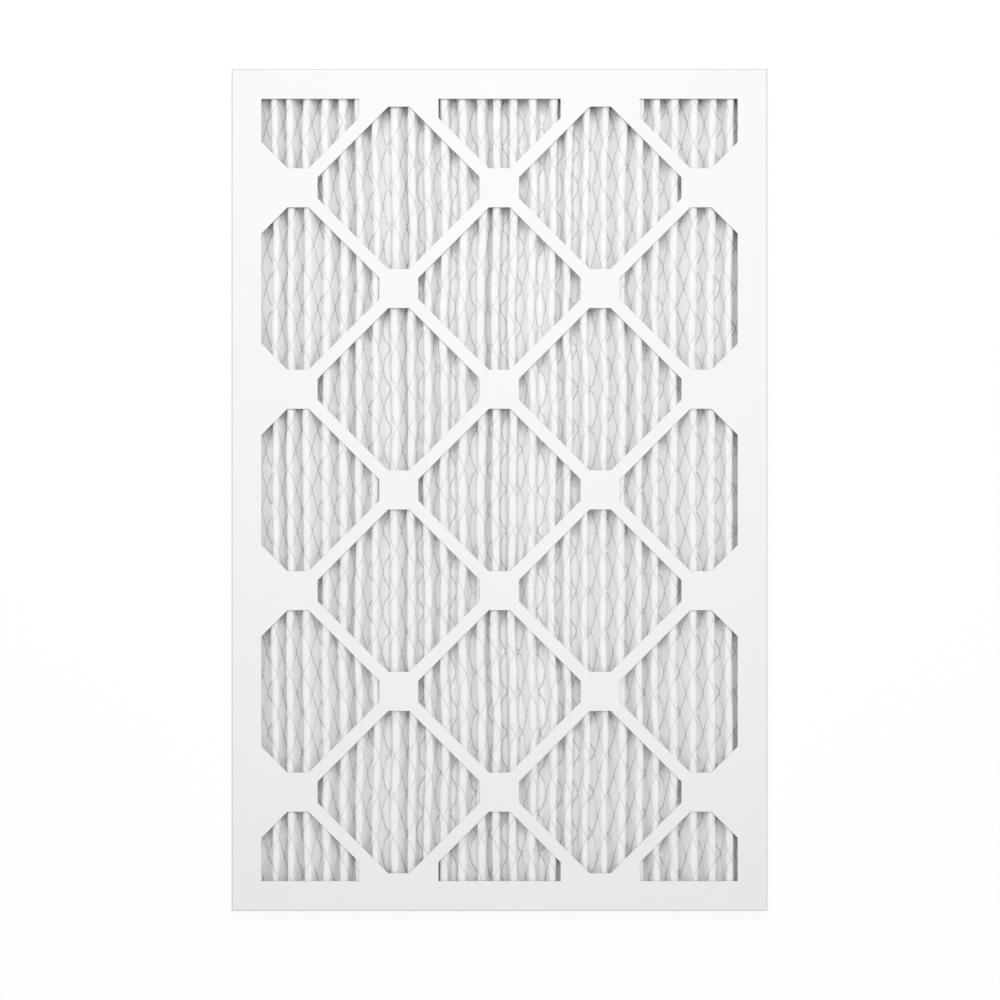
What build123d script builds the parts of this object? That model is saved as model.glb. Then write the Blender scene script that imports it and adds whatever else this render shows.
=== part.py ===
"""Pleated panel air filter, 16 x 25 x 1 inch nominal, for a duct or a return-air grille.

Two die-cut card trays telescope into each other. Each has a lattice face, four folded walls and glued
corner tabs. Between the two faces stands a pleated pack: non-woven media backed by a support mesh on
the outlet side. Hot-melt seals the pack to the rear tray on all four sides, and laps the two trays
together.

Millimetres. X is the width, Y the length, Z the depth. The origin is the centre of the rear face, which
is the side that the filter lies on, and the outlet face looks up.
"""

from build123d import *
from math import asin, atan2, cos, degrees, hypot, pi, sin, sqrt, tan
import os

# Frame outline
WIDTH = 400.05
LENGTH = 628.65
DEPTH = 19.05

# Card
BOARD = 0.71  # sheet thickness
FOLD_INSIDE_RADIUS = 0.3
TAB_LENGTH = 26.0  # corner tab, glued behind the end wall
TAB_TAPER = 5.0  # its free end is cut back at both edges
TAB_CLEARANCE = 1.2  # from the tab to the tray's face and to its open rim
CUT_RELIEF = 0.3  # the end wall stops short of the side wall's outside
RIM_CLEARANCE = 0.25  # rear tray's rim to the inside of the front face

# Lattice face
BORDER = 22.2  # plain margin round the windows
LATTICE_STEP = 75.2  # from a window's centre to the next strap crossing, along X or Y
STRAP_WIDTH = 9.4  # diagonal strap
CROSSING_WIDTH = 29.1  # flat to flat, where two straps cross
END_WINDOW_WIDTH = 91.2  # windows cut off by the head and foot margins are narrowed to this
SMALLEST_WINDOW = 30.0  # a window trimmed to less than this is left out

# Pleated pack
PLEAT_PITCH = 13.0  # aimed at, then rounded to a whole number of pleats
MEDIA_THICKNESS = 1.2
MESH_THICKNESS = 0.5  # support mesh, over its strands
BOND_GAP = 0.2  # media to mesh
CREST_INSIDE_RADIUS = 0.7  # on the hollow side of every fold
CREST_CLEARANCE = 0.05  # crests and valleys to the lattice card, which they are glued to
FLAP_DROP = 2.5  # the end flaps stop this far below the front card

# Hot-melt
LAP_GLUE_THICKNESS = 0.2  # between the side walls of the two trays
LAP_GLUE_HEIGHT = 12.0
LAP_GLUE_END_GAP = 3.0  # from its ends to the corner tabs
SIDE_SEAL_THICKNESS = 0.6  # end flap to side wall
SIDE_SEAL_HEIGHT = 10.0
END_SEAL_THICKNESS = 2.0  # pleat ends to the corner tabs

# Outside of a folded edge
FOLD_RADIUS = FOLD_INSIDE_RADIUS + BOARD

# Rear tray, nested in the front one: inside its walls, and at the ends inside its tabs too
REAR_WIDTH = WIDTH - 2 * (BOARD + LAP_GLUE_THICKNESS)
REAR_LENGTH = LENGTH - 2 * (2 * BOARD + LAP_GLUE_THICKNESS)
REAR_HEIGHT = DEPTH - BOARD - RIM_CLEARANCE

# Room for the pack inside the rear tray
ROOM_HALF_WIDTH = REAR_WIDTH / 2 - BOARD
ROOM_HALF_LENGTH = REAR_LENGTH / 2 - BOARD
PACK_HALF_LENGTH = ROOM_HALF_LENGTH - BOARD - END_SEAL_THICKNESS
PACK_FLOOR = BOARD + CREST_CLEARANCE
PACK_CEILING = DEPTH - PACK_FLOOR

# Pleat line: the middle of the gap between media and mesh, arcs joined by straight flanks
TIP_RADIUS = CREST_INSIDE_RADIUS + MEDIA_THICKNESS + BOND_GAP + MESH_THICKNESS
CREST_RADIUS = TIP_RADIUS - MESH_THICKNESS - BOND_GAP / 2
VALLEY_RADIUS = TIP_RADIUS - MEDIA_THICKNESS - BOND_GAP / 2
CREST_Z = PACK_CEILING - TIP_RADIUS
VALLEY_Z = PACK_FLOOR + TIP_RADIUS
FLAP_X = ROOM_HALF_WIDTH - SIDE_SEAL_THICKNESS
END_VALLEY_X = FLAP_X - TIP_RADIUS
FLAP_TOP = DEPTH - BOARD - FLAP_DROP
PLEATS = round(2 * END_VALLEY_X / PLEAT_PITCH)
PITCH = 2 * END_VALLEY_X / PLEATS
CENTRE_LINE_ANGLE = atan2(PITCH / 2, CREST_Z - VALLEY_Z)
CENTRE_DISTANCE = hypot(PITCH / 2, CREST_Z - VALLEY_Z)
FLANK_ANGLE = CENTRE_LINE_ANGLE - asin((CREST_RADIUS + VALLEY_RADIUS) / CENTRE_DISTANCE)  # from the vertical


def block(x_low, x_high, y_low, y_high, z_low, z_high):
    """A box from its limits."""
    size = (x_high - x_low, y_high - y_low, z_high - z_low)
    centre = ((x_low + x_high) / 2, (y_low + y_high) / 2, (z_low + z_high) / 2)
    return Pos(*centre) * Box(*size)


# ---- lattice face -------------------------------------------------------------------------------


def lattice_windows():
    """The die-cut windows of a face as one sketch: octagons on every other point of a square grid, cut
    off at the margins."""
    half = LATTICE_STEP - CROSSING_WIDTH / 2
    diagonal = LATTICE_STEP - STRAP_WIDTH / sqrt(2)
    limit_x = WIDTH / 2 - BORDER
    limit_y = LENGTH / 2 - BORDER
    octagon = Rectangle(2 * half, 2 * half) & Rectangle(diagonal * sqrt(2), diagonal * sqrt(2), rotation=45)
    narrowed = octagon & Rectangle(END_WINDOW_WIDTH, 2 * half)
    field = Rectangle(2 * limit_x, 2 * limit_y)
    columns = int(WIDTH / 2 / LATTICE_STEP) + 1
    rows = int(LENGTH / 2 / LATTICE_STEP) + 1
    windows = []
    for column in range(-columns, columns + 1):
        for row in range(-rows, rows + 1):
            x, y = column * LATTICE_STEP, row * LATTICE_STEP
            open_x = min(x + half, limit_x) - max(x - half, -limit_x)
            open_y = min(y + half, limit_y) - max(y - half, -limit_y)
            if (column + row) % 2 or min(open_x, open_y) < SMALLEST_WINDOW:
                continue
            cut_by_end_margin = abs(y) + half / 2 > limit_y
            windows.append(field & Pos(x, y) * (narrowed if cut_by_end_margin else octagon))
    return Sketch() + windows


# ---- card trays ---------------------------------------------------------------------------------


def corner_tab(width, length, height):
    """The glued tab at the +X +Y corner of a tray: a strip behind the end wall, with a tapered free end."""
    root = width / 2 - BOARD
    low, high = BOARD + TAB_CLEARANCE, height - TAB_CLEARANCE
    outline = Polyline(
        (root, low),
        (root, high),
        (root - TAB_LENGTH + TAB_TAPER, high),
        (root - TAB_LENGTH, high - TAB_TAPER),
        (root - TAB_LENGTH, low + TAB_TAPER),
        (root - TAB_LENGTH + TAB_TAPER, low),
        close=True,
    )
    behind_end_wall = Plane((0, length / 2 - BOARD, 0), x_dir=(1, 0, 0), z_dir=(0, -1, 0))
    return extrude(behind_end_wall * make_face(outline), amount=BOARD)


def tray(width, length, height):
    """One folded card blank, standing open upwards with the outside of its lattice face at z = 0."""
    outside = Pos(0, 0, height / 2) * Box(width, length, height)
    outside = fillet(outside.faces().sort_by(Axis.Z)[0].edges(), FOLD_RADIUS)
    inside = Pos(0, 0, BOARD + height / 2) * Box(width - 2 * BOARD, length - 2 * BOARD, height)
    inside = fillet(inside.faces().sort_by(Axis.Z)[0].edges(), FOLD_INSIDE_RADIUS)
    card = outside - inside

    tab = corner_tab(width, length, height)
    tabs = tab + mirror(tab, Plane.YZ)
    card += tabs + mirror(tabs, Plane.XZ)

    # the end wall's cut edges show at the corners, set back from the side wall's outside
    relief = block(width / 2 - CUT_RELIEF, width / 2, length / 2 - BOARD, length / 2, FOLD_RADIUS, height)
    reliefs = relief + mirror(relief, Plane.YZ)
    card -= reliefs + mirror(reliefs, Plane.XZ)

    card -= extrude(lattice_windows(), amount=BOARD)
    return card


def rear_frame():
    return tray(REAR_WIDTH, REAR_LENGTH, REAR_HEIGHT)


def front_frame():
    return Pos(0, 0, DEPTH) * Rot(0, 180, 0) * tray(WIDTH, LENGTH, DEPTH)


# ---- pleated pack -------------------------------------------------------------------------------


def fold(x, z, radius, up, creased, flap_side=0):
    """The bend of one fold about its centre: a crest where up is 1 and a valley where it is -1. A creased
    fold is given by its two corners, and a round one by its arc's start, middle and end. Both touch the
    flanks, or the upright end flap on the side that flap_side names."""
    crown = z + up * radius
    if creased:
        flat = radius * tan((pi / 2 - FLANK_ANGLE) / 2)
        start = (x - (radius if flap_side < 0 else flat), crown)
        end = (x + (radius if flap_side > 0 else flat), crown)
        return [start, end]
    across, along = radius * cos(FLANK_ANGLE), up * radius * sin(FLANK_ANGLE)
    start = (x - radius, z) if flap_side < 0 else (x - across, z + along)
    end = (x + radius, z) if flap_side > 0 else (x + across, z + along)
    return [start, (x, crown), end]


def pleat_line(offset, creased_crests, creased_valleys):
    """The pleat line moved by offset towards the outlet side, as edges from the left flap's top to the
    right flap's top."""
    crest, valley = CREST_RADIUS + offset, VALLEY_RADIUS - offset
    folds = [fold(-END_VALLEY_X, VALLEY_Z, valley, -1, creased_valleys, flap_side=-1)]
    for pleat in range(PLEATS):
        crest_x = -END_VALLEY_X + (pleat + 0.5) * PITCH
        last = pleat == PLEATS - 1
        folds.append(fold(crest_x, CREST_Z, crest, 1, creased_crests))
        folds.append(fold(crest_x + PITCH / 2, VALLEY_Z, valley, -1, creased_valleys, flap_side=int(last)))

    here = (-END_VALLEY_X - valley, FLAP_TOP)
    edges = []
    for points in folds:
        edges.append(Line(here, points[0]))
        edges.append(Line(*points) if len(points) == 2 else ThreePointArc(*points))
        here = points[-1]
    edges.append(Line(here, (END_VALLEY_X + valley, FLAP_TOP)))
    return edges


def pleated_sheet(low, high):
    """A sheet between two pleat lines, over the pack's whole length."""
    left_end = Line(low[0] @ 0, high[0] @ 0)
    right_end = Line(low[-1] @ 1, high[-1] @ 1)
    foot_end = Plane((0, -PACK_HALF_LENGTH, 0), x_dir=(1, 0, 0), z_dir=(0, -1, 0))
    section = make_face(low + [right_end] + high + [left_end])
    return extrude(foot_end * section, amount=-2 * PACK_HALF_LENGTH)


def pleated_media():
    """Round on the outside of every fold and creased on the hollow side."""
    low = pleat_line(-BOND_GAP / 2 - MEDIA_THICKNESS, creased_crests=True, creased_valleys=False)
    high = pleat_line(-BOND_GAP / 2, creased_crests=False, creased_valleys=True)
    return pleated_sheet(low, high)


def support_mesh():
    """The envelope of the expanded mesh, which lies on the media's outlet side and follows its folds."""
    low = pleat_line(BOND_GAP / 2, creased_crests=False, creased_valleys=True)
    high = pleat_line(BOND_GAP / 2 + MESH_THICKNESS, creased_crests=False, creased_valleys=True)
    return pleated_sheet(low, high)


# ---- hot-melt -----------------------------------------------------------------------------------


def side_seal():
    """The bead between the right end flap and the rear tray's side wall."""
    middle = (VALLEY_Z + FLAP_TOP) / 2
    return block(
        FLAP_X,
        ROOM_HALF_WIDTH,
        -PACK_HALF_LENGTH,
        PACK_HALF_LENGTH,
        middle - SIDE_SEAL_HEIGHT / 2,
        middle + SIDE_SEAL_HEIGHT / 2,
    )


def end_seal():
    """The bed that the pleat ends stand in at the head: across the whole room, and out to the end wall
    between its tabs."""
    low = BOARD + FOLD_INSIDE_RADIUS
    high = DEPTH - BOARD
    tabs_inside = ROOM_HALF_LENGTH - BOARD
    between_tabs = ROOM_HALF_WIDTH - TAB_LENGTH - LAP_GLUE_END_GAP
    bed = block(-ROOM_HALF_WIDTH, ROOM_HALF_WIDTH, PACK_HALF_LENGTH, tabs_inside, low, high)
    filling = block(-between_tabs, between_tabs, tabs_inside, ROOM_HALF_LENGTH, low, REAR_HEIGHT)
    return bed + filling


def side_lap_glue():
    """The strip between the right side walls of the two trays."""
    half_length = REAR_LENGTH / 2 - TAB_LENGTH
    low = (DEPTH - LAP_GLUE_HEIGHT) / 2
    return block(REAR_WIDTH / 2, WIDTH / 2 - BOARD, -half_length, half_length, low, low + LAP_GLUE_HEIGHT)


def end_lap_glue():
    """The strip between the head walls of the two trays, in the room that the corner tabs leave."""
    half_width = WIDTH / 2 - BOARD - TAB_LENGTH - LAP_GLUE_END_GAP
    low = (DEPTH - LAP_GLUE_HEIGHT) / 2
    return block(-half_width, half_width, REAR_LENGTH / 2, LENGTH / 2 - BOARD, low, low + LAP_GLUE_HEIGHT)


# ---- assembly -----------------------------------------------------------------------------------


def pieces():
    """Every piece by its name, in place."""
    return {
        "front_frame": front_frame(),
        "rear_frame": rear_frame(),
        "pleated_media": pleated_media(),
        "support_mesh": support_mesh(),
        "right_side_seal": side_seal(),
        "left_side_seal": mirror(side_seal(), Plane.YZ),
        "head_end_seal": end_seal(),
        "foot_end_seal": mirror(end_seal(), Plane.XZ),
        "right_lap_glue": side_lap_glue(),
        "left_lap_glue": mirror(side_lap_glue(), Plane.YZ),
        "head_lap_glue": end_lap_glue(),
        "foot_lap_glue": mirror(end_lap_glue(), Plane.XZ),
    }


os.makedirs("parts", exist_ok=True)
for name, shape in pieces().items():
    export_step(shape, f"parts/{name}.step")
print(f"{PLEATS} pleats at {PITCH:.3f} mm, flanks {degrees(FLANK_ANGLE):.1f} degrees from the vertical")
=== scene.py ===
"""The looks of a pleated panel air filter: card trays, pleated media, wire mesh and hot-melt seals.

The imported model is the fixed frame. The media and its wire mesh are worked out here on the same number
of folds, with the wander, the puffed cells and the uneven crests that a pleating machine leaves. The card
trays and the seals keep the frame's own meshes and get their finish here.
"""

import bpy
import numpy as np
from bpy.props import FloatProperty, FloatVectorProperty, IntProperty, PointerProperty
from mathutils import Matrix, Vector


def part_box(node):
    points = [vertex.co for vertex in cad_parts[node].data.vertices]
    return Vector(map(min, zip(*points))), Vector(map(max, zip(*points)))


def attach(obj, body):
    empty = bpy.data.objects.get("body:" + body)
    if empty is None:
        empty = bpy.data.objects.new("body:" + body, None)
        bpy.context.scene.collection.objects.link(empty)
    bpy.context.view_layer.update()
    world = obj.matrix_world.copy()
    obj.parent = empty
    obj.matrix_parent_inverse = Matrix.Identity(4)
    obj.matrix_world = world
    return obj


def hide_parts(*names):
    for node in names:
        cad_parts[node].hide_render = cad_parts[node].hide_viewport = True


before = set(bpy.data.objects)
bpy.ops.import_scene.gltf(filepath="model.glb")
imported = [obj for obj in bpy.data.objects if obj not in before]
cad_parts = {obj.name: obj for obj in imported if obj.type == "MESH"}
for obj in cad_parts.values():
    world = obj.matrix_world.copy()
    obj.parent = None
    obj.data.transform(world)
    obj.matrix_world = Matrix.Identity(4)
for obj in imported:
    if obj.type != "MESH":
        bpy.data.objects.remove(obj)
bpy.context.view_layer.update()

bl_info = {
    "name": "Pleated panel air filter",
    "version": (1, 0, 0),
    "blender": (4, 5, 0),
    "location": "View3D > Sidebar > Air filter",
    "description": "Builds and finishes a pleated panel air filter around its packed model",
    "category": "Object",
}

MEDIA_LOW, MEDIA_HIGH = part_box("pleated_media")
MESH_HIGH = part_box("support_mesh")[1]
TRAY_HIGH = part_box("front_frame")[1]
CARD_NODES = ("front_frame", "rear_frame")
SEAL_NODES = tuple(sorted(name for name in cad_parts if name.endswith(("_seal", "_glue"))))
FOLD_SEED, CELL_SEED = 2957, 11
MM = 0.001


# ---- settings -----------------------------------------------------------------------------------


class CardSettings(bpy.types.PropertyGroup):
    """The two folded card trays."""

    colour: FloatVectorProperty(
        name="Card colour",
        description="Bleached face of the board",
        subtype="COLOR",
        size=3,
        min=0.0,
        max=1.0,
        default=(0.8, 0.8, 0.795),
    )
    edge_colour: FloatVectorProperty(
        name="Cut edge colour",
        description="Fibrous core that shows on die-cut edges",
        subtype="COLOR",
        size=3,
        min=0.0,
        max=1.0,
        default=(0.76, 0.755, 0.74),
    )
    # Painted shade along the outer folds of the trays, with some cracked coating: a dark grey standing in
    # for the shading of the rounded fold.
    fold_shade_and_crack_colour: FloatVectorProperty(
        name="Fold colour",
        description="Coating that has cracked and greyed along the folds",
        subtype="COLOR",
        size=3,
        min=0.0,
        max=1.0,
        default=(0.38, 0.38, 0.37),
    )
    margin: FloatProperty(
        name="Margin",
        description="Plain border round the windows",
        default=22.2 * MM,
        unit="LENGTH",
    )


class MediaSettings(bpy.types.PropertyGroup):
    """The pleated sheet of non-woven media."""

    pleats: IntProperty(name="Pleats", description="Number of crests across the width", default=30, min=2)
    rows: IntProperty(
        name="Rows",
        description="Grid cells along each pleat on the outlet side, an even number",
        default=160,
        min=8,
    )
    thickness: FloatProperty(
        name="Media thickness",
        description="Thickness of the sheet",
        default=1.2 * MM,
        unit="LENGTH",
    )
    crest_radius: FloatProperty(
        name="Crest radius", description="Outlet side of a crest", default=2.65 * MM, unit="LENGTH"
    )
    valley_radius: FloatProperty(
        name="Valley radius", description="Outlet side of a valley", default=2.5 * MM, unit="LENGTH"
    )
    flap_gap: FloatProperty(
        name="Flap gap",
        description="From the top of an end flap to the underside of the mesh",
        default=1.7 * MM,
        unit="LENGTH",
    )
    squareness: FloatProperty(
        name="Squareness",
        description="1 for round bends, less for flatter ones",
        default=0.66,
        min=0.5,
        max=1.0,
    )
    puff: FloatProperty(
        name="Puff",
        description="How far the media stands out between the strands",
        default=0.85 * MM,
        unit="LENGTH",
    )
    splay: FloatProperty(
        name="Splay",
        description="How far crests lean away from the middle, and valleys towards it",
        default=1.2 * MM,
        unit="LENGTH",
    )
    wander: FloatProperty(
        name="Wander",
        description="Sideways drift of a fold along its length",
        default=0.65 * MM,
        unit="LENGTH",
    )
    crowding: FloatProperty(
        name="Crowding",
        description="How far the middle of the pack is pushed towards the left wall",
        default=9.2 * MM,
        unit="LENGTH",
    )
    gap: FloatProperty(
        name="Gap",
        description="How much closer to the left wall the second pleat stands",
        default=3.6 * MM,
        unit="LENGTH",
    )
    beat: FloatProperty(
        name="Beat",
        description="Sideways swing of the folds that comes round about every fourth pleat",
        default=1.1 * MM,
        unit="LENGTH",
    )
    scatter: FloatProperty(
        name="Scatter",
        description="How far each fold may stand out of place",
        default=0.8 * MM,
        unit="LENGTH",
    )
    lean: FloatProperty(
        name="Lean",
        description="How much further a valley may stand out of place than a crest",
        default=1.9,
        min=0,
    )
    unevenness: FloatProperty(
        name="Unevenness",
        description="How much the bends differ in width, as a share",
        default=0.16,
        min=0,
        max=0.3,
    )
    slump: FloatProperty(
        name="Slump",
        description="How far an uneven crest may stay below the card",
        default=0.8 * MM,
        unit="LENGTH",
    )
    colour: FloatVectorProperty(
        name="Media colour",
        description="White polyester fibre",
        subtype="COLOR",
        size=3,
        min=0.0,
        max=1.0,
        default=(0.965, 0.965, 0.96),
    )


class WireSettings(bpy.types.PropertyGroup):
    """The expanded wire mesh bonded to the outlet side of the media."""

    cell_width: FloatProperty(
        name="Cell width",
        description="Diamond, across the pleats",
        default=17.4 * MM,
        unit="LENGTH",
    )
    cell_length: FloatProperty(
        name="Cell length",
        description="Diamond, along the pleats",
        default=30.6 * MM,
        unit="LENGTH",
    )
    strand_width: FloatProperty(
        name="Strand width",
        description="In the sheet",
        default=0.75 * MM,
        unit="LENGTH",
    )
    strand_depth: FloatProperty(
        name="Strand depth", description="Through the sheet", default=0.3 * MM, unit="LENGTH"
    )
    crown: FloatProperty(
        name="Crown",
        description="Width of a strand's rounded top, as a share of the strand",
        default=0.72,
        min=0.1,
        max=1,
    )
    lift: FloatProperty(
        name="Lift",
        description="From the media to the strand's underside",
        default=0.03 * MM,
        unit="LENGTH",
    )
    sink: FloatProperty(
        name="Sink",
        description="How deep the strands press into the loft over a crest",
        default=0.15 * MM,
        unit="LENGTH",
    )
    twist: FloatProperty(
        name="Twist",
        description="How far the strands turn on edge over a crest, as a share",
        default=0.62,
        min=0,
        max=0.9,
    )
    bond_length: FloatProperty(
        name="Bond length",
        description="Where two strands join, along the pleats",
        default=5.0 * MM,
        unit="LENGTH",
    )
    bond_width: FloatProperty(
        name="Bond width",
        description="Where two strands join, across the pleats",
        default=1.3 * MM,
        unit="LENGTH",
    )
    bond_skin: FloatProperty(
        name="Bond skin",
        description="How much thicker a joint is than its strands, each side",
        default=0.04 * MM,
        unit="LENGTH",
    )
    colour: FloatVectorProperty(
        name="Wire colour",
        description="Galvanised steel",
        subtype="COLOR",
        size=3,
        min=0.0,
        max=1.0,
        default=(0.58, 0.585, 0.59),
    )


class SealSettings(bpy.types.PropertyGroup):
    """The hot-melt beads that seal the pack into the trays."""

    colour: FloatVectorProperty(
        name="Hot-melt colour",
        description="Cooled adhesive",
        subtype="COLOR",
        size=3,
        min=0.0,
        max=1.0,
        default=(0.86, 0.83, 0.74),
    )


class StageSettings(bpy.types.PropertyGroup):
    """Floor, light and camera."""

    camera_height: FloatProperty(
        name="Camera height", description="Above the outlet face", default=1.1, unit="LENGTH"
    )
    frame_height: FloatProperty(
        name="Frame height",
        description="Side of the square picture, at the outlet face",
        default=0.7465,
        unit="LENGTH",
    )
    camera_offset: FloatVectorProperty(
        name="Camera offset",
        description="Sideways, and towards the head, from the middle of the filter",
        subtype="TRANSLATION",
        size=2,
        default=(0.35 * MM, -7.5 * MM),
    )
    key_power: FloatProperty(
        name="Key power",
        description="Watts of the overhead softbox",
        default=12.35,
    )
    key_size: FloatVectorProperty(
        name="Key size",
        description="Width and length of the softbox",
        subtype="TRANSLATION",
        size=2,
        default=(0.8, 1.0),
    )
    key_place: FloatVectorProperty(
        name="Key place",
        description="Middle of the softbox, which is aimed at the origin",
        subtype="TRANSLATION",
        size=3,
        default=(0.0, 0.42, 1.3),
    )
    sky: FloatProperty(
        name="Sky",
        description="Strength of the even light from all round",
        default=0.55,
    )
    floor_colour: FloatVectorProperty(
        name="Floor colour",
        description="Pale studio floor",
        subtype="COLOR",
        size=3,
        min=0.0,
        max=1.0,
        default=(0.95, 0.95, 0.95),
    )
    floor_glow: FloatProperty(
        name="Floor glow",
        description="Share of plain white in the floor as the camera sees it",
        default=0.86,
        min=0,
        max=1,
    )
    floor_reach: FloatProperty(
        name="Floor reach",
        description="From the middle of the floor to its sides",
        default=20.0,
        unit="LENGTH",
    )
    floor_drop: FloatProperty(
        name="Floor drop", description="Gap under the filter", default=0.05 * MM, unit="LENGTH"
    )


class FilterSettings(bpy.types.PropertyGroup):
    """All that a user may change."""

    card: PointerProperty(type=CardSettings)
    media: PointerProperty(type=MediaSettings)
    wire: PointerProperty(type=WireSettings)
    seal: PointerProperty(type=SealSettings)
    stage: PointerProperty(type=StageSettings)


# ---- the pleated sheet, worked out --------------------------------------------------------------


def waves(rng, along, count, shortest, longest, coherence=0.0):
    """Smooth noise, one row per place in along and one column per fold: a sum of five sine waves whose
    lengths lie between shortest and longest. Coherence above 0 makes neighbouring columns alike."""
    total = np.zeros((len(along), count))
    harmonics = 5
    for _ in range(harmonics):
        length = rng.uniform(shortest, longest)
        start = rng.uniform(0, 2 * np.pi)
        if coherence:
            drift = np.cumsum(rng.normal(0, 1 - coherence, count))
        else:
            drift = rng.uniform(0, 2 * np.pi, count)
        total += np.sin(2 * np.pi * along[:, None] / length + start + drift[None, :])
    return total / np.sqrt(harmonics / 2)


class Sheet:
    """The media's outlet side as a grid: rows run along the pleats and columns across them, over every
    crest and valley. Each point has a place, an outward direction and its place in the flat sheet."""

    def __init__(self, media, wire):
        self.media, self.wire = media, wire
        self.half = MEDIA_HIGH.y
        self.along = np.linspace(-self.half, self.half, media.rows + 1)
        self.lay_folds()
        self.lay_columns()
        self.cells = self.cell_place(self.across[None, :], self.along[:, None])
        self.puff_cells()

    def lay_folds(self):
        """Centres and radii of the bends. Valleys and crests take turns across the room between the end
        flaps. Three sines crowd the middle of the pack to the left, and a bell draws the second pleat
        closer to the left wall. A quicker sine swings the pack about every fourth pleat, and a hyperbolic
        tangent leans the crests away from the middle and the valleys towards it. Each fold also stands a
        little out of place and drifts sideways along its length, by smooth noise. The swing, the lean and
        the noise fade towards the end flaps. No two bends are equally wide, and crests stay below the card
        by an uneven slump and half of the puff."""
        media, rng = self.media, np.random.default_rng(FOLD_SEED)
        folds = 2 * media.pleats + 1
        order = np.arange(folds)
        self.crest = crest = order % 2 == 1
        turn = np.pi * order / (folds - 1)
        fade = 0.25
        loose = np.clip(np.sin(turn), 0, None) ** fade
        room = MEDIA_HIGH.x - media.thickness - media.valley_radius
        third, fifth = 0.18, 0.1
        crowd = np.sin(turn) + third * np.sin(3 * turn) + fifth * np.sin(5 * turn)
        spread = np.linspace(-room, room, folds) - media.crowding * crowd
        second_crest, bell_width = 3, 1.4
        spread -= media.gap * np.exp(-(((order - second_crest) / bell_width) ** 2))
        beat_pleats, beat_start = 4.2, 0.18
        swing = media.beat * np.sin(np.pi * (order - 1) / beat_pleats - beat_start)
        scatter = rng.uniform(-1, 1, folds) * media.scatter * np.where(crest, 1, media.lean)
        slow_lengths, quick_lengths, quick_share, alike = (0.12, 0.5), (0.05, 0.16), 0.35, 0.7
        drift = waves(rng, self.along, folds, *slow_lengths, coherence=alike) * media.wander
        drift += waves(rng, self.along, folds, *quick_lengths) * media.wander * quick_share
        steepness = 2
        splay = media.splay * np.tanh(steepness * np.cos(turn)) * np.where(crest, -1, 1)
        self.fold_x = spread + (swing + splay + scatter + drift) * loose
        widths = 1 + media.unevenness * rng.uniform(-1, 1, folds) * loose
        self.radius = np.where(crest, media.crest_radius, media.valley_radius) * widths
        slump_lengths, slump_share = (0.06, 0.3), 0.5
        slump = np.abs(waves(rng, self.along, folds, *slump_lengths)) * media.slump * slump_share
        self.ceiling = MESH_HIGH.z - self.wire.strand_depth - self.wire.lift
        top = self.ceiling - self.radius - 0.5 * media.puff - slump
        foot = MEDIA_LOW.z + media.thickness + self.radius
        self.fold_z = np.where(crest, top, foot)

    def flank_angles(self):
        """Slope of each flank from the upright: the common tangent of two neighbouring bends leans by the
        angle between their centres less that whose sine is the sum of the radii over the distance. The
        end flaps stand upright."""
        run = np.diff(self.fold_x, axis=1)
        rise = np.abs(np.diff(self.fold_z, axis=1))
        reach = self.radius[1:] + self.radius[:-1]
        lean = np.arctan2(run, rise) - np.arcsin(reach / np.hypot(run, rise))
        upright = np.zeros((len(self.along), 1))
        return np.hstack([upright, lean, upright])

    def bend(self, lean, which, steps):
        """Points and outward directions on the bends of some folds: a rounded square about the fold's
        centre, from one flank's tangent point to the other's. The cosine and the sine are both raised to
        the squareness for the place, and to two less the squareness for the direction."""
        up = np.where(self.crest[which], 1.0, -1.0)[None, :, None]
        before, after = lean[:, :-1][:, which, None], lean[:, 1:][:, which, None]
        share = np.linspace(0, 1, steps + 1)[None, None, :]
        turn = (np.pi - before) * (1 - share) + after * share
        circle = np.stack([np.cos(turn), np.sin(turn)], -1)
        power = self.media.squareness
        place = np.sign(circle) * np.abs(circle) ** power * self.radius[which][None, :, None, None]
        out = np.sign(circle) * np.abs(circle) ** (2 - power)
        out /= np.linalg.norm(out, axis=-1, keepdims=True)
        x = self.fold_x[:, which, None] + place[..., 0]
        z = self.fold_z[:, which, None] + up * place[..., 1]
        return np.stack([x, z], -1), np.stack([up * out[..., 0], out[..., 1]], -1)

    def lay_columns(self):
        """Places and outward directions of the whole grid, before the cells are puffed. A pleat is a valley
        bend, a flank, a crest bend and a flank, and an end flap stands on the first and the last valley.
        Flanks and flaps are straight: a share of one end plus the rest of the other. Across is the distance
        from the first column along the mean profile. Freedom is the share of the puff that a column takes:
        little in a valley or on top of a crest, and more on a crest's shoulders, by the square of the
        distance from its top, and on the flanks. Pressed is 1 on the crests and 0 elsewhere."""
        crest_steps, valley_steps, flank_steps, flap_steps = 5, 4, 2, 3
        lean = self.flank_angles()
        valleys, crests = np.flatnonzero(~self.crest), np.flatnonzero(self.crest)
        low, low_out = self.bend(lean, valleys, valley_steps)
        high, high_out = self.bend(lean, crests, crest_steps)
        share = (np.arange(1, flank_steps) / flank_steps)[None, None, :, None]

        def flank(start, end):
            return start[:, :, -1:, :] * (1 - share) + end[:, :, :1, :] * share

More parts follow.
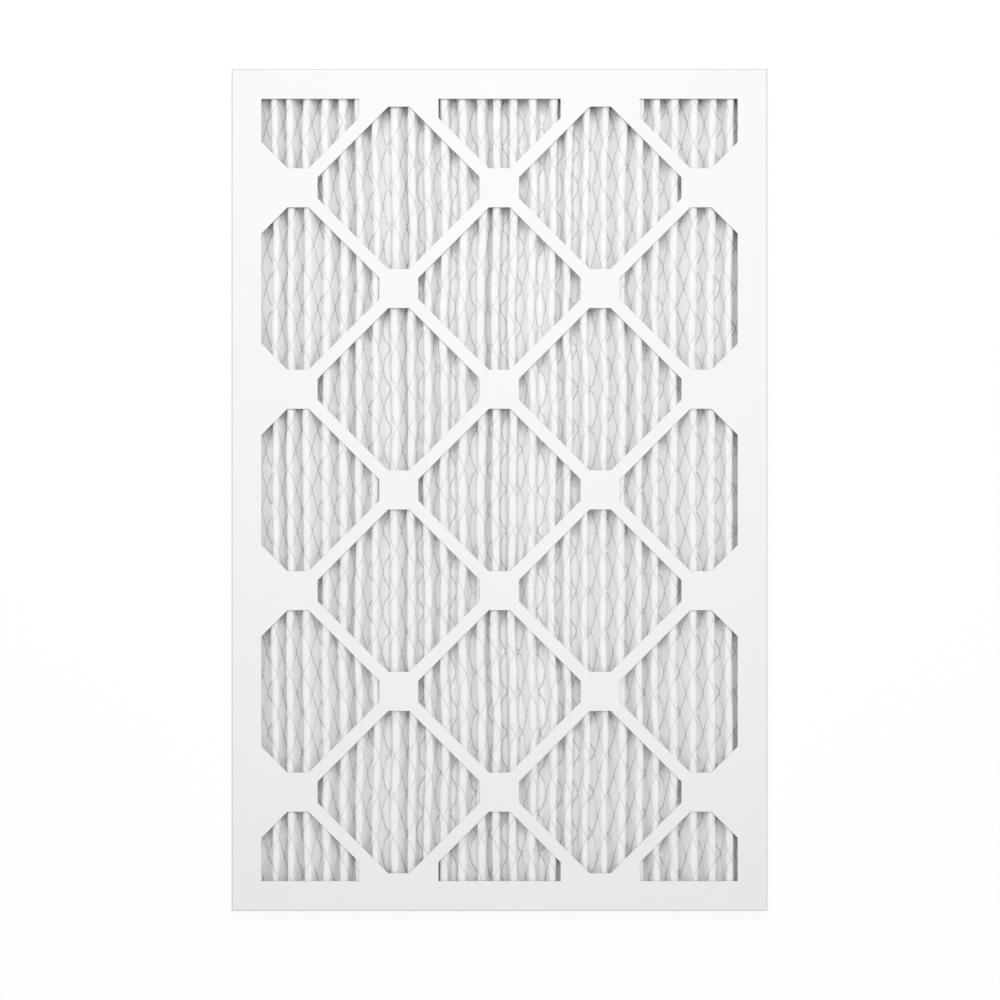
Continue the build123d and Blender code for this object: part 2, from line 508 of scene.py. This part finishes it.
        rising, rising_out = flank(low[:, :-1], high), flank(low_out[:, :-1], high_out)
        falling, falling_out = flank(high, low[:, 1:]), flank(high_out, low_out[:, 1:])
        pleat = np.concatenate([low[:, :-1], rising, high, falling], 2)
        pleat_out = np.concatenate([low_out[:, :-1], rising_out, high_out, falling_out], 2)
        rows = len(self.along)
        flap_top = MEDIA_HIGH.z - self.media.flap_gap
        fall = (np.arange(flap_steps) / flap_steps)[None, :, None]
        left_foot, right_foot = low[:, :1, 0, :], low[:, -1:, -1, :]
        left_top = np.stack([left_foot[..., 0], np.full((rows, 1), flap_top)], -1)
        right_top = np.stack([right_foot[..., 0], np.full((rows, 1), flap_top)], -1)
        left = left_top * (1 - fall) + left_foot * fall
        right = (right_top * (1 - fall) + right_foot * fall)[:, ::-1]
        left_out = np.broadcast_to([1.0, 0.0], left.shape)
        right_out = np.broadcast_to([-1.0, 0.0], right.shape)
        last, last_out = low[:, -1], low_out[:, -1]
        place = np.concatenate([left, pleat.reshape(rows, -1, 2), last, right], 1)
        out = np.concatenate([left_out, pleat_out.reshape(rows, -1, 2), last_out, right_out], 1)
        along = np.broadcast_to(self.along[:, None], place.shape[:2])
        self.place = np.stack([place[..., 0], along, place[..., 1]], -1)
        self.out = np.stack([out[..., 0], np.zeros_like(along), out[..., 1]], -1)
        middle = place.mean(0)
        self.across = np.concatenate([[0], np.cumsum(np.hypot(*np.diff(middle, axis=0).T))])

        def over_columns(valley, flank, crest):
            foot, flap = [valley] * (valley_steps + 1), [valley] * flap_steps
            side = [flank] * (flank_steps - 1)
            one = foot + side + list(crest) + side
            return np.array(flap + one * self.media.pleats + foot + flap)

        free_valley, free_crest, free_shoulder, free_flank = 0.05, 0.15, 0.65, 0.9
        beside = np.linspace(-1, 1, crest_steps + 1) ** 2
        free_crests = free_crest + (free_shoulder - free_crest) * beside
        self.freedom = over_columns(free_valley, free_flank, free_crests)
        self.pressed = over_columns(0.0, 0.0, np.ones(crest_steps + 1))

    def stretch(self, across, along):
        """How far the mesh is pulled out of true, in cells: two slow waves and a quicker one. Each is its
        amount times the sine of the place across and along, over a length for each."""
        broad, oblong, quick = 0.09, 0.07, 0.03
        broad_width, broad_length = 0.071, 0.19
        oblong_width, oblong_length, oblong_start = 0.13, 0.083, 1.0
        quick_width, quick_length = 0.019, 0.031
        pull = broad * np.sin(across / broad_width + along / broad_length)
        pull += oblong * np.sin(along / oblong_length - across / oblong_width + oblong_start)
        return pull + quick * np.sin(across / quick_width + along / quick_length)

    def cell_place(self, across, along):
        """Place in the mesh's own lattice: the two numbers that are whole along its two families of
        strands."""
        shift = self.stretch(across, along)
        width, length = self.wire.cell_width, self.wire.cell_length
        first = across / width + along / length + shift
        second = across / width - along / length + shift
        return np.stack([first, second], -1)

    def puff_cells(self):
        """Lifts each diamond between the strands: the product of two squared sines, which is nothing on
        the strands, to a power that broadens it, times the column's freedom and an uneven height for each
        diamond. What would rise past the card levels off under it by an exponential curve."""
        rng = np.random.default_rng(CELL_SEED)
        first, second = self.cells[..., 0], self.cells[..., 1]
        repeat, lowest, power = 256, 0.5, 0.8
        heights = rng.uniform(lowest, 1.0, (repeat, repeat))
        cell = heights[np.floor(first).astype(int) % repeat, np.floor(second).astype(int) % repeat]
        puff = (np.sin(np.pi * first) * np.sin(np.pi * second)) ** 2
        self.puff = self.media.puff * self.freedom[None, :] * cell * puff**power
        self.base = self.place
        self.place = self.base + self.puff[..., None] * self.out
        soft = 0.3 * MM
        over = np.maximum(self.place[..., 2] - (self.ceiling - soft), 0)
        self.place[..., 2] += soft * (1 - np.exp(-over / soft)) - over

    def under(self):
        """The inlet side: the sheet's thickness below, following half of the puff, on every other row."""
        down = self.media.thickness - 0.5 * self.puff
        return (self.base - down[..., None] * self.out)[::2]

    def sample(self, row, column):
        """Place and outward direction at fractions of a row and a column: shares of the four points round
        the place."""
        rows, columns = self.place.shape[:2]
        row_low = np.clip(np.floor(row).astype(int), 0, rows - 2)
        column_low = np.clip(np.floor(column).astype(int), 0, columns - 2)
        down, side = (row - row_low)[..., None], (column - column_low)[..., None]
        found = []
        for grid in (self.place, self.out):
            near = grid[row_low, column_low] * (1 - side) + grid[row_low, column_low + 1] * side
            far = grid[row_low + 1, column_low] * (1 - side) + grid[row_low + 1, column_low + 1] * side
            found.append(near * (1 - down) + far * down)
        return found[0], found[1] / np.linalg.norm(found[1], axis=-1, keepdims=True)

    def row_of(self, along):
        """The row, with its fraction, of a distance along the pleats from the middle."""
        return (along + self.half) / (2 * self.half) * self.media.rows

    def column_of(self, across):
        """The column, with its fraction, of a distance across the flat sheet."""
        return np.interp(across, self.across, np.arange(len(self.across)))


# ---- meshes -------------------------------------------------------------------------------------


def make_piece(name, vertices, faces, material, smooth, stands_for):
    """A mesh object at the origin that rides on the filter and stands for a node of the frame."""
    mesh = bpy.data.meshes.new(name)
    mesh.from_pydata(vertices, [], faces)
    mesh.polygons.foreach_set("use_smooth", np.full(len(mesh.polygons), smooth))
    mesh.materials.append(material)
    mesh.update()
    piece = bpy.data.objects.new(name, mesh)
    bpy.context.scene.collection.objects.link(piece)
    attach(piece, "root")
    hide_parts(stands_for)
    return piece


def grid_faces(rows, columns, first=0, flip=False):
    """Quads of a grid whose points are numbered row by row."""
    corner = first + np.arange(rows - 1)[:, None] * columns + np.arange(columns - 1)[None, :]
    quads = np.stack([corner, corner + 1, corner + columns + 1, corner + columns], -1).reshape(-1, 4)
    return quads[:, ::-1] if flip else quads


def build_media(sheet, material):
    """The closed sheet: the outlet side on every row, the inlet side on every other row, and a rim. The
    rim has four-sided faces at the foot and the head, and five-sided ones at the flaps, where one step
    of the inlet side meets two of the outlet side."""
    top, under = sheet.place, sheet.under()
    rows, columns = top.shape[:2]
    half_rows = under.shape[0]
    start = rows * columns
    faces = grid_faces(rows, columns).tolist()
    faces += grid_faces(half_rows, columns, start, flip=True).tolist()
    column = np.arange(columns - 1)
    foot_top, foot_under = column, start + column
    faces += np.stack([foot_top, foot_under, foot_under + 1, foot_top + 1], -1).tolist()
    head_top, head_under = (rows - 1) * columns + column, start + (half_rows - 1) * columns + column
    faces += np.stack([head_top + 1, head_under + 1, head_under, head_top], -1).tolist()
    row = np.arange(half_rows - 1)
    near, middle, far = 2 * row * columns, (2 * row + 1) * columns, (2 * row + 2) * columns
    under_near, under_far = start + row * columns, start + (row + 1) * columns
    faces += np.stack([under_near, near, middle, far, under_far], -1).tolist()
    end = columns - 1
    faces += (end + np.stack([near, under_near, under_far, far, middle], -1)).tolist()
    vertices = np.concatenate([top.reshape(-1, 3), under.reshape(-1, 3)])
    piece = make_piece("media_sheet", vertices, faces, material, True, "pleated_media")
    cells = np.concatenate([sheet.cells.reshape(-1, 2), sheet.cells[::2].reshape(-1, 2)])
    corners = np.empty(len(piece.data.loops), np.int32)
    piece.data.loops.foreach_get("vertex_index", corners)
    layer = piece.data.uv_layers.new(name="cells")
    layer.data.foreach_set("uv", cells[corners].ravel())
    return piece


def strand_lines(sheet):
    """Where each strand crosses each column of the sheet: one of the two cell numbers is whole there. The
    pull out of true is taken on the straight strand."""
    width, length = sheet.wire.cell_width, sheet.wire.cell_length
    across = sheet.across[None, :]
    reach = sheet.half / length
    span = sheet.across[-1] / width
    rising = np.arange(np.ceil(-reach), np.floor(span + reach) + 1)[:, None]
    straight = length * (rising - across / width)
    first = straight - length * sheet.stretch(across, straight)
    straight = -length * (rising - across / width)
    second = straight + length * sheet.stretch(across, straight)
    return np.concatenate([first, second])


def ribbon_rings(place, out, width, depth, lift, crown):
    """Four corners round each point of each line: half the width to either side, from the lift up. The
    top is as wide as the crown, a share of the width."""
    ahead = np.gradient(place, axis=1)
    ahead /= np.linalg.norm(ahead, axis=-1, keepdims=True)
    side = np.cross(out, ahead)
    side /= np.linalg.norm(side, axis=-1, keepdims=True)
    low, high = place + out * lift, place + out * (lift + depth)
    half, top_half = side * width / 2, side * width * crown / 2
    return np.stack([low - half, low + half, high + top_half, high - top_half], 2)


def strand_mesh(sheet):
    """Every strand as a four-sided ribbon on the sheet, cut off at the pack's ends and capped there. Over
    a crest it sinks into the loft and turns on edge, which makes it narrower."""
    wire, sides = sheet.wire, 4
    along = strand_lines(sheet)
    lines, columns = along.shape
    column = np.broadcast_to(np.arange(columns, dtype=float), along.shape)
    place, out = sheet.sample(sheet.row_of(np.clip(along, -sheet.half, sheet.half)), column)
    place[..., 1] = along
    lift = (wire.lift - wire.sink * sheet.pressed)[None, :, None]
    width = (wire.strand_width * (1 - wire.twist * sheet.pressed))[None, :, None]
    rings = ribbon_rings(place, out, width, wire.strand_depth, lift, wire.crown)
    inside = np.abs(along) < sheet.half - wire.strand_width
    joined = inside[:, :-1] & inside[:, 1:]
    before = np.pad(joined, ((0, 0), (1, 0)))
    after = np.pad(joined, ((0, 0), (0, 1)))
    number = np.arange(lines * columns).reshape(lines, columns) * sides
    here, there = number[:, :-1][joined][:, None, None], number[:, 1:][joined][:, None, None]
    turn = np.arange(sides)[None, :, None]
    following = (turn + 1) % sides
    walls = np.concatenate([here + turn, here + following, there + following, there + turn], 2)
    starts = number[after & ~before][:, None] + np.array([3, 2, 1, 0])
    ends = number[before & ~after][:, None] + np.array([0, 1, 2, 3])
    return rings.reshape(-1, 3), np.concatenate([walls.reshape(-1, 4), starts, ends])


def bond_mesh(sheet):
    """A small lozenge plate wherever two strands join, which is where both cell numbers are whole. Its
    corners lie half its length and half its width from the joint, and a skin on each side makes it
    thicker than the strands. Over a crest it sinks by the strands' depth more than they do."""
    wire, corners, spare = sheet.wire, 8, 2
    width, length = wire.cell_width, wire.cell_length
    wide, tall = int(sheet.across[-1] / width) + spare, int(sheet.half / length) + spare
    first, second = np.meshgrid(np.arange(-tall, wide + tall), np.arange(-tall, wide + tall))
    across, along = (first + second).ravel() * width / 2, (first - second).ravel() * length / 2
    shift = sheet.stretch(across, along)
    across = across - shift * width
    fits = (across > wire.bond_width) & (across < sheet.across[-1] - wire.bond_width)
    fits &= np.abs(along) < sheet.half - wire.bond_length
    across, along = across[fits][:, None], along[fits][:, None]
    step_across = np.array([0, wire.bond_width / 2, 0, -wire.bond_width / 2])
    step_along = np.array([-wire.bond_length / 2, 0, wire.bond_length / 2, 0])
    across, along = across + step_across, along + step_along
    place, out = sheet.sample(sheet.row_of(along), sheet.column_of(across))
    hidden = wire.sink + wire.strand_depth
    lift = wire.lift - hidden * np.interp(across, sheet.across, sheet.pressed)[..., None]
    low = place + out * (lift - wire.bond_skin)
    high = place + out * (lift + wire.strand_depth + wire.bond_skin)
    vertices = np.concatenate([low, high], 1).reshape(-1, 3)
    start = np.arange(len(low))[:, None, None] * corners
    plate = np.array([[3, 2, 1, 0], [4, 5, 6, 7], [0, 1, 5, 4], [1, 2, 6, 5], [2, 3, 7, 6], [3, 0, 4, 7]])
    return vertices, (start + plate).reshape(-1, 4)


def build_wire(sheet, material):
    """Strands and bonds as one mesh, without the points that no face uses."""
    strands, strand_faces = strand_mesh(sheet)
    bonds, bond_faces = bond_mesh(sheet)
    vertices = np.concatenate([strands, bonds])
    faces = np.concatenate([strand_faces, bond_faces + len(strands)])
    used, faces = np.unique(faces, return_inverse=True)
    faces = faces.reshape(-1, 4).tolist()
    return make_piece("wire_mesh", vertices[used], faces, material, False, "support_mesh")


# ---- shader parts -------------------------------------------------------------------------------


class Nodes:
    """Short calls for a node tree: add a node with its inputs, and link outputs to inputs."""

    def __init__(self, tree):
        self.tree = tree

    def add(self, kind, inputs=None, **settings):
        node = self.tree.nodes.new(kind)
        for key, value in settings.items():
            setattr(node, key, value)
        return self.feed(node, inputs or {})

    def feed(self, node, inputs):
        """Links what comes from another node, and sets a plain value on the socket itself."""
        for key, value in inputs.items():
            socket = node.inputs[key]
            if isinstance(value, bpy.types.NodeSocket):
                self.tree.links.new(value, socket)
            else:
                socket.default_value = value
        return node

    def maths(self, operation, first, second=0.0):
        return self.add("ShaderNodeMath", {0: first, 1: second}, operation=operation).outputs[0]

    def ramp(self, value, low, high, to_low=0.0, to_high=1.0):
        inputs = {"Value": value, "From Min": low, "From Max": high, "To Min": to_low, "To Max": to_high}
        return self.add("ShaderNodeMapRange", inputs, interpolation_type="SMOOTHSTEP").outputs[0]

    def noise(self, place, scale, detail=2.0, roughness=0.5, distortion=0.0):
        inputs = {"Vector": place, "Scale": scale, "Detail": detail, "Roughness": roughness}
        inputs["Distortion"] = distortion
        return self.add("ShaderNodeTexNoise", inputs).outputs["Fac"]

    def mix_colour(self, share, first, second):
        inputs = {0: share, 6: first, 7: second}
        return self.add("ShaderNodeMix", inputs, data_type="RGBA").outputs[2]


def new_group(name, inputs, outputs):
    """An empty shader node group with named sockets, and its input node."""
    group = bpy.data.node_groups.new(name, "ShaderNodeTree")
    for label, kind, default in inputs:
        socket = group.interface.new_socket(label, in_out="INPUT", socket_type=kind)
        if default is not None:
            socket.default_value = default
    for label, kind in outputs:
        group.interface.new_socket(label, in_out="OUTPUT", socket_type=kind)
    nodes = Nodes(group)
    return group, nodes, nodes.add("NodeGroupInput").outputs


def finish_group(nodes, results):
    """Gives a group its outputs."""
    nodes.add("NodeGroupOutput", results)


def fibre_group():
    """Felted fibres: fine flecks over soft clouds. Gives a value near 1 for colour and a height."""
    group, nodes, given = new_group(
        "fibres",
        [
            ("Place", "NodeSocketVector", None),
            ("Fibre Size", "NodeSocketFloat", 0.4 * MM),
            ("Cloud Size", "NodeSocketFloat", 12 * MM),
            ("Contrast", "NodeSocketFloat", 0.05),
        ],
        [("Shade", "NodeSocketFloat"), ("Height", "NodeSocketFloat")],
    )
    fine_scale = nodes.maths("DIVIDE", 1.0, given["Fibre Size"])
    cloud_scale = nodes.maths("DIVIDE", 1.0, given["Cloud Size"])
    fine = nodes.noise(given["Place"], fine_scale, detail=3.0, roughness=0.65, distortion=1.5)
    cloud = nodes.noise(given["Place"], cloud_scale, detail=2.0, roughness=0.5)
    both = nodes.maths("ADD", nodes.maths("MULTIPLY", fine, 0.5), nodes.maths("MULTIPLY", cloud, 0.5))
    swing = nodes.maths("MULTIPLY", nodes.maths("SUBTRACT", both, 0.5), given["Contrast"])
    finish_group(nodes, {"Shade": nodes.maths("ADD", 1.0, swing), "Height": fine})
    return group


def crease_group():
    """Distance from the strands, from the two cell numbers: 0 on a strand and 1 away from it."""
    group, nodes, given = new_group(
        "strand creases",
        [("Cells", "NodeSocketVector", None), ("Reach", "NodeSocketFloat", 0.12)],
        [("Open", "NodeSocketFloat")],
    )
    parts = nodes.add("ShaderNodeSeparateXYZ", {0: given["Cells"]}).outputs
    distances = []
    for part in (parts[0], parts[1]):
        half_way = nodes.maths("SUBTRACT", nodes.maths("FRACT", part), 0.5)
        distances.append(nodes.maths("SUBTRACT", 0.5, nodes.maths("ABSOLUTE", half_way)))
    nearest = nodes.maths("MINIMUM", distances[0], distances[1])
    finish_group(nodes, {"Open": nodes.ramp(nearest, low=0.0, high=given["Reach"])})
    return group


def new_material(name):
    """A material with its node tree and its principled shader."""
    material = bpy.data.materials.new(name)
    material.use_nodes = True
    nodes = Nodes(material.node_tree)
    shader = material.node_tree.nodes["Principled BSDF"]
    return material, nodes, shader


def group_node(nodes, group, inputs):
    """A node group placed in a tree with its own values; returns its outputs."""
    return nodes.add("ShaderNodeGroup", inputs, node_tree=group).outputs


def shaded(nodes, colour, shade):
    """A colour times a value."""
    node = nodes.add("ShaderNodeVectorMath", {0: colour, 1: shade}, operation="MULTIPLY")
    return node.outputs[0]


def media_material(media, fibres, creases):
    """White non-woven: felted fibres, pinched along the strands with painted shade darkening the creases
    there, and a soft sheen.
    """
    material, nodes, shader = new_material("white_media")
    place = nodes.add("ShaderNodeTexCoord").outputs["Object"]
    cells = nodes.add("ShaderNodeUVMap", uv_map="cells").outputs[0]
    inputs = {"Place": place, "Fibre Size": 0.8 * MM, "Cloud Size": 6 * MM, "Contrast": 0.16}
    felt = group_node(nodes, fibres, inputs)
    pinch = group_node(nodes, creases, {"Cells": cells, "Reach": 0.13})
    # Painted shade: the colour darkens by a few hundredths in the creases along the strands.
    crease_painted_shade, pinch_depth, felt_depth = 0.03, 0.35, 0.25
    tone = nodes.maths("ADD", nodes.maths("MULTIPLY", pinch["Open"], crease_painted_shade), 1 - crease_painted_shade)
    tone = nodes.maths("MULTIPLY", tone, felt["Shade"])
    height = nodes.maths("MULTIPLY", pinch["Open"], pinch_depth)
    height = nodes.maths("ADD", height, nodes.maths("MULTIPLY", felt["Height"], felt_depth))
    bump = nodes.add("ShaderNodeBump", {"Height": height, "Strength": 0.8, "Distance": 1.0 * MM})
    nodes.feed(shader, {"Base Color": shaded(nodes, (*media.colour,), tone), "Normal": bump.outputs[0]})
    nodes.feed(shader, {"Roughness": 0.95, "Specular IOR Level": 0.2})
    nodes.feed(shader, {"Sheen Weight": 0.9, "Sheen Roughness": 0.5})
    nodes.feed(shader, {"Subsurface Weight": 0.6, "Subsurface Radius": (1.0, 1.0, 1.0)})
    nodes.feed(shader, {"Subsurface Scale": 3.0 * MM})
    return material


def card_material(card, fibres):
    """Bleached board: close fibres, slightly greyer die-cut edges, and painted shade with some cracked
    coating along the outer folds.
    """
    material, nodes, shader = new_material("bleached_card")
    coordinates = nodes.add("ShaderNodeTexCoord").outputs
    inputs = {"Place": coordinates["Object"], "Fibre Size": 0.35 * MM, "Cloud Size": 30 * MM}
    inputs["Contrast"] = 0.045
    fibre = group_node(nodes, fibres, inputs)
    place = nodes.add("ShaderNodeSeparateXYZ", {0: coordinates["Object"]}).outputs
    facing = nodes.add("ShaderNodeSeparateXYZ", {0: coordinates["Normal"]}).outputs
    upright = nodes.maths("SUBTRACT", 1.0, nodes.maths("ABSOLUTE", facing[2]))
    inner_x = nodes.maths("LESS_THAN", nodes.maths("ABSOLUTE", place[0]), TRAY_HIGH.x - card.margin / 2)
    inner_y = nodes.maths("LESS_THAN", nodes.maths("ABSOLUTE", place[1]), TRAY_HIGH.y - card.margin / 2)
    inner = nodes.maths("MULTIPLY", inner_x, inner_y)
    cut = nodes.maths("MULTIPLY", nodes.ramp(upright, low=0.4, high=0.9), inner)
    outer = nodes.maths("SUBTRACT", 1.0, inner)
    # Painted shade: where the outer faces turn from the flat into the wall, the colour greys towards the
    # fold colour, which also stands for cracked coating.
    leaves_face = nodes.ramp(upright, low=0.02, high=0.3)
    meets_wall = nodes.ramp(upright, low=0.99, high=0.9)
    bend = nodes.maths("MULTIPLY", leaves_face, meets_wall)
    fold = nodes.maths("MULTIPLY", bend, outer)
    colour = nodes.mix_colour(cut, (*card.colour, 1.0), (*card.edge_colour, 1.0))
    colour = nodes.mix_colour(fold, colour, (*card.fold_shade_and_crack_colour, 1.0))
    rough = nodes.ramp(fibre["Height"], low=0.3, high=0.7, to_low=0.55, to_high=0.68)
    fibre_depth, cockle_depth = 0.03, 0.5
    cockle = nodes.noise(coordinates["Object"], scale=18.0, detail=1.0)
    height = nodes.maths("MULTIPLY", fibre["Height"], fibre_depth)
    height = nodes.maths("ADD", height, nodes.maths("MULTIPLY", cockle, cockle_depth))
    bump = nodes.add("ShaderNodeBump", {"Height": height, "Strength": 0.6, "Distance": 1.0 * MM})
    nodes.feed(shader, {"Base Color": shaded(nodes, colour, fibre["Shade"]), "Roughness": rough})
    nodes.feed(shader, {"Normal": bump.outputs[0], "Specular IOR Level": 0.3})
    return material


def wire_material(wire, fibres):
    """Galvanised steel: dull zinc with fine uneven spangle."""
    material, nodes, shader = new_material("zinc_wire")
    place = nodes.add("ShaderNodeTexCoord").outputs["Object"]
    inputs = {"Place": place, "Fibre Size": 1.5 * MM, "Cloud Size": 25 * MM, "Contrast": 0.35}
    spangle = group_node(nodes, fibres, inputs)
    rough = nodes.ramp(spangle["Height"], low=0.3, high=0.7, to_low=0.45, to_high=0.6)
    colour = shaded(nodes, (*wire.colour,), spangle["Shade"])
    nodes.feed(shader, {"Base Color": colour, "Roughness": rough, "Metallic": 0.5})
    return material


def seal_material(seal, fibres):
    """Cooled hot-melt: milky and smooth with a slow ripple."""
    material, nodes, shader = new_material("hot_melt")
    place = nodes.add("ShaderNodeTexCoord").outputs["Object"]
    inputs = {"Place": place, "Fibre Size": 6 * MM, "Cloud Size": 25 * MM, "Contrast": 0.12}
    ripple = group_node(nodes, fibres, inputs)
    colour = shaded(nodes, (*seal.colour,), ripple["Shade"])
    bump = nodes.add("ShaderNodeBump", {"Height": ripple["Height"], "Strength": 0.5, "Distance": 0.4 * MM})
    nodes.feed(shader, {"Base Color": colour, "Normal": bump.outputs[0], "Roughness": 0.35})
    return material


def background_rays(nodes):
    """1 for a ray that shows the background: from the camera, off a gloss or through glass. Else 0."""
    path = nodes.add("ShaderNodeLightPath").outputs
    seen = nodes.maths("MAXIMUM", path["Is Camera Ray"], path["Is Glossy Ray"])
    return nodes.maths("MAXIMUM", seen, path["Is Transmission Ray"])


def floor_material(stage):
    """Pale floor that keeps the shadow: mostly plain white to the camera and to reflections, and matt
    paint to all other light."""
    material, nodes, shader = new_material("studio_floor")
    paint = {"Base Color": (*stage.floor_colour, 1.0), "Roughness": 0.9, "Specular IOR Level": 0.0}
    matt = nodes.feed(shader, paint).outputs[0]
    white = nodes.add("ShaderNodeEmission", {"Color": (1, 1, 1, 1), "Strength": 1.0}).outputs[0]
    share = nodes.maths("MULTIPLY", background_rays(nodes), stage.floor_glow)
    mixed = nodes.add("ShaderNodeMixShader", {0: share, 1: matt, 2: white}).outputs[0]
    nodes.feed(nodes.tree.nodes["Material Output"], {"Surface": mixed})
    return material


# ---- stage --------------------------------------------------------------------------------------


def build_floor(stage):
    """A wide square just under the filter."""
    half, drop = stage.floor_reach, stage.floor_drop
    mesh = bpy.data.meshes.new("studio_floor")
    corners = [(-half, -half, -drop), (half, -half, -drop), (half, half, -drop), (-half, half, -drop)]
    mesh.from_pydata(corners, [], [(0, 1, 2, 3)])
    mesh.materials.append(floor_material(stage))
    floor = bpy.data.objects.new("studio_floor", mesh)
    bpy.context.scene.collection.objects.link(floor)


def build_lights(stage):
    """A large softbox overhead, set towards the filter's head, and an even sky that is white to the
    camera and to reflections."""
    lamp = bpy.data.lights.new("softbox", "AREA")
    lamp.shape = "RECTANGLE"
    lamp.size, lamp.size_y = stage.key_size
    lamp.energy = stage.key_power
    box = bpy.data.objects.new("softbox", lamp)
    box.location = stage.key_place
    box.rotation_euler = (-box.location).to_track_quat("-Z", "Y").to_euler()
    bpy.context.scene.collection.objects.link(box)
    world = bpy.data.worlds.new("studio_sky")
    world.use_nodes = True
    nodes = Nodes(world.node_tree)
    strength = nodes.ramp(background_rays(nodes), low=0.0, high=1.0, to_low=stage.sky)
    nodes.feed(world.node_tree.nodes["Background"], {"Color": (1, 1, 1, 1), "Strength": strength})
    bpy.context.scene.world = world


def build_camera(stage):
    """Straight above the filter, with its head at the top of the picture."""
    camera = bpy.data.cameras.new("camera")
    camera.sensor_fit = "HORIZONTAL"
    camera.sensor_width = 36.0
    camera.lens = camera.sensor_width * stage.camera_height / stage.frame_height
    camera.clip_end = 50.0
    holder = bpy.data.objects.new("camera", camera)
    holder.location = (*stage.camera_offset, TRAY_HIGH.z + stage.camera_height)
    bpy.context.scene.collection.objects.link(holder)
    bpy.context.scene.camera = holder


# ---- operators ----------------------------------------------------------------------------------


def shared_group(name, make):
    """A node group that is built once and used by more than one material."""
    return bpy.data.node_groups.get(name) or make()


def finish_nodes(names, material):
    """Gives the frame's own meshes their finish."""
    for name in names:
        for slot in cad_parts[name].material_slots:
            slot.material = material


class FILTER_OT_card(bpy.types.Operator):
    """Finishes both card trays"""

    bl_idname = "air_filter.card"
    bl_label = "Card trays"

    def execute(self, context):
        card, fibres = context.scene.air_filter.card, shared_group("fibres", fibre_group)
        finish_nodes(CARD_NODES, card_material(card, fibres))
        return {"FINISHED"}


class FILTER_OT_pack(bpy.types.Operator):
    """Builds the pleated media and the wire mesh on it"""

    bl_idname = "air_filter.pack"
    bl_label = "Pleated media and wire mesh"

    def execute(self, context):
        settings = context.scene.air_filter
        sheet = Sheet(settings.media, settings.wire)
        fibres, creases = shared_group("fibres", fibre_group), shared_group("strand creases", crease_group)
        build_media(sheet, media_material(settings.media, fibres, creases))
        build_wire(sheet, wire_material(settings.wire, fibres))
        return {"FINISHED"}


class FILTER_OT_seals(bpy.types.Operator):
    """Finishes the hot-melt seals and laps"""

    bl_idname = "air_filter.seals"
    bl_label = "Hot-melt seals"

    def execute(self, context):
        seal, fibres = context.scene.air_filter.seal, shared_group("fibres", fibre_group)
        finish_nodes(SEAL_NODES, seal_material(seal, fibres))
        return {"FINISHED"}


class FILTER_OT_stage(bpy.types.Operator):
    """Builds the floor, the light and the camera"""

    bl_idname = "air_filter.stage"
    bl_label = "Studio stage"

    def execute(self, context):
        stage = context.scene.air_filter.stage
        build_floor(stage)
        build_lights(stage)
        build_camera(stage)
        context.scene.view_settings.view_transform = "Standard"
        return {"FINISHED"}


class FILTER_PT_panel(bpy.types.Panel):
    """Lists the steps that build the filter"""

    bl_idname = "FILTER_PT_panel"
    bl_label = "Air filter"
    bl_space_type = "VIEW_3D"
    bl_region_type = "UI"
    bl_category = "Air filter"

    def draw(self, context):
        for step in STEPS:
            self.layout.operator(step.bl_idname)


SETTINGS = (CardSettings, MediaSettings, WireSettings, SealSettings, StageSettings, FilterSettings)
STEPS = (FILTER_OT_card, FILTER_OT_pack, FILTER_OT_seals, FILTER_OT_stage)


def register():
    for part in (*SETTINGS, *STEPS, FILTER_PT_panel):
        bpy.utils.register_class(part)
    bpy.types.Scene.air_filter = PointerProperty(type=FilterSettings)


def unregister():
    del bpy.types.Scene.air_filter
    for part in reversed((*SETTINGS, *STEPS, FILTER_PT_panel)):
        bpy.utils.unregister_class(part)


def main():
    register()
    bpy.ops.air_filter.card()
    bpy.ops.air_filter.pack()
    bpy.ops.air_filter.seals()
    bpy.ops.air_filter.stage()


if __name__ == "__main__":
    main()
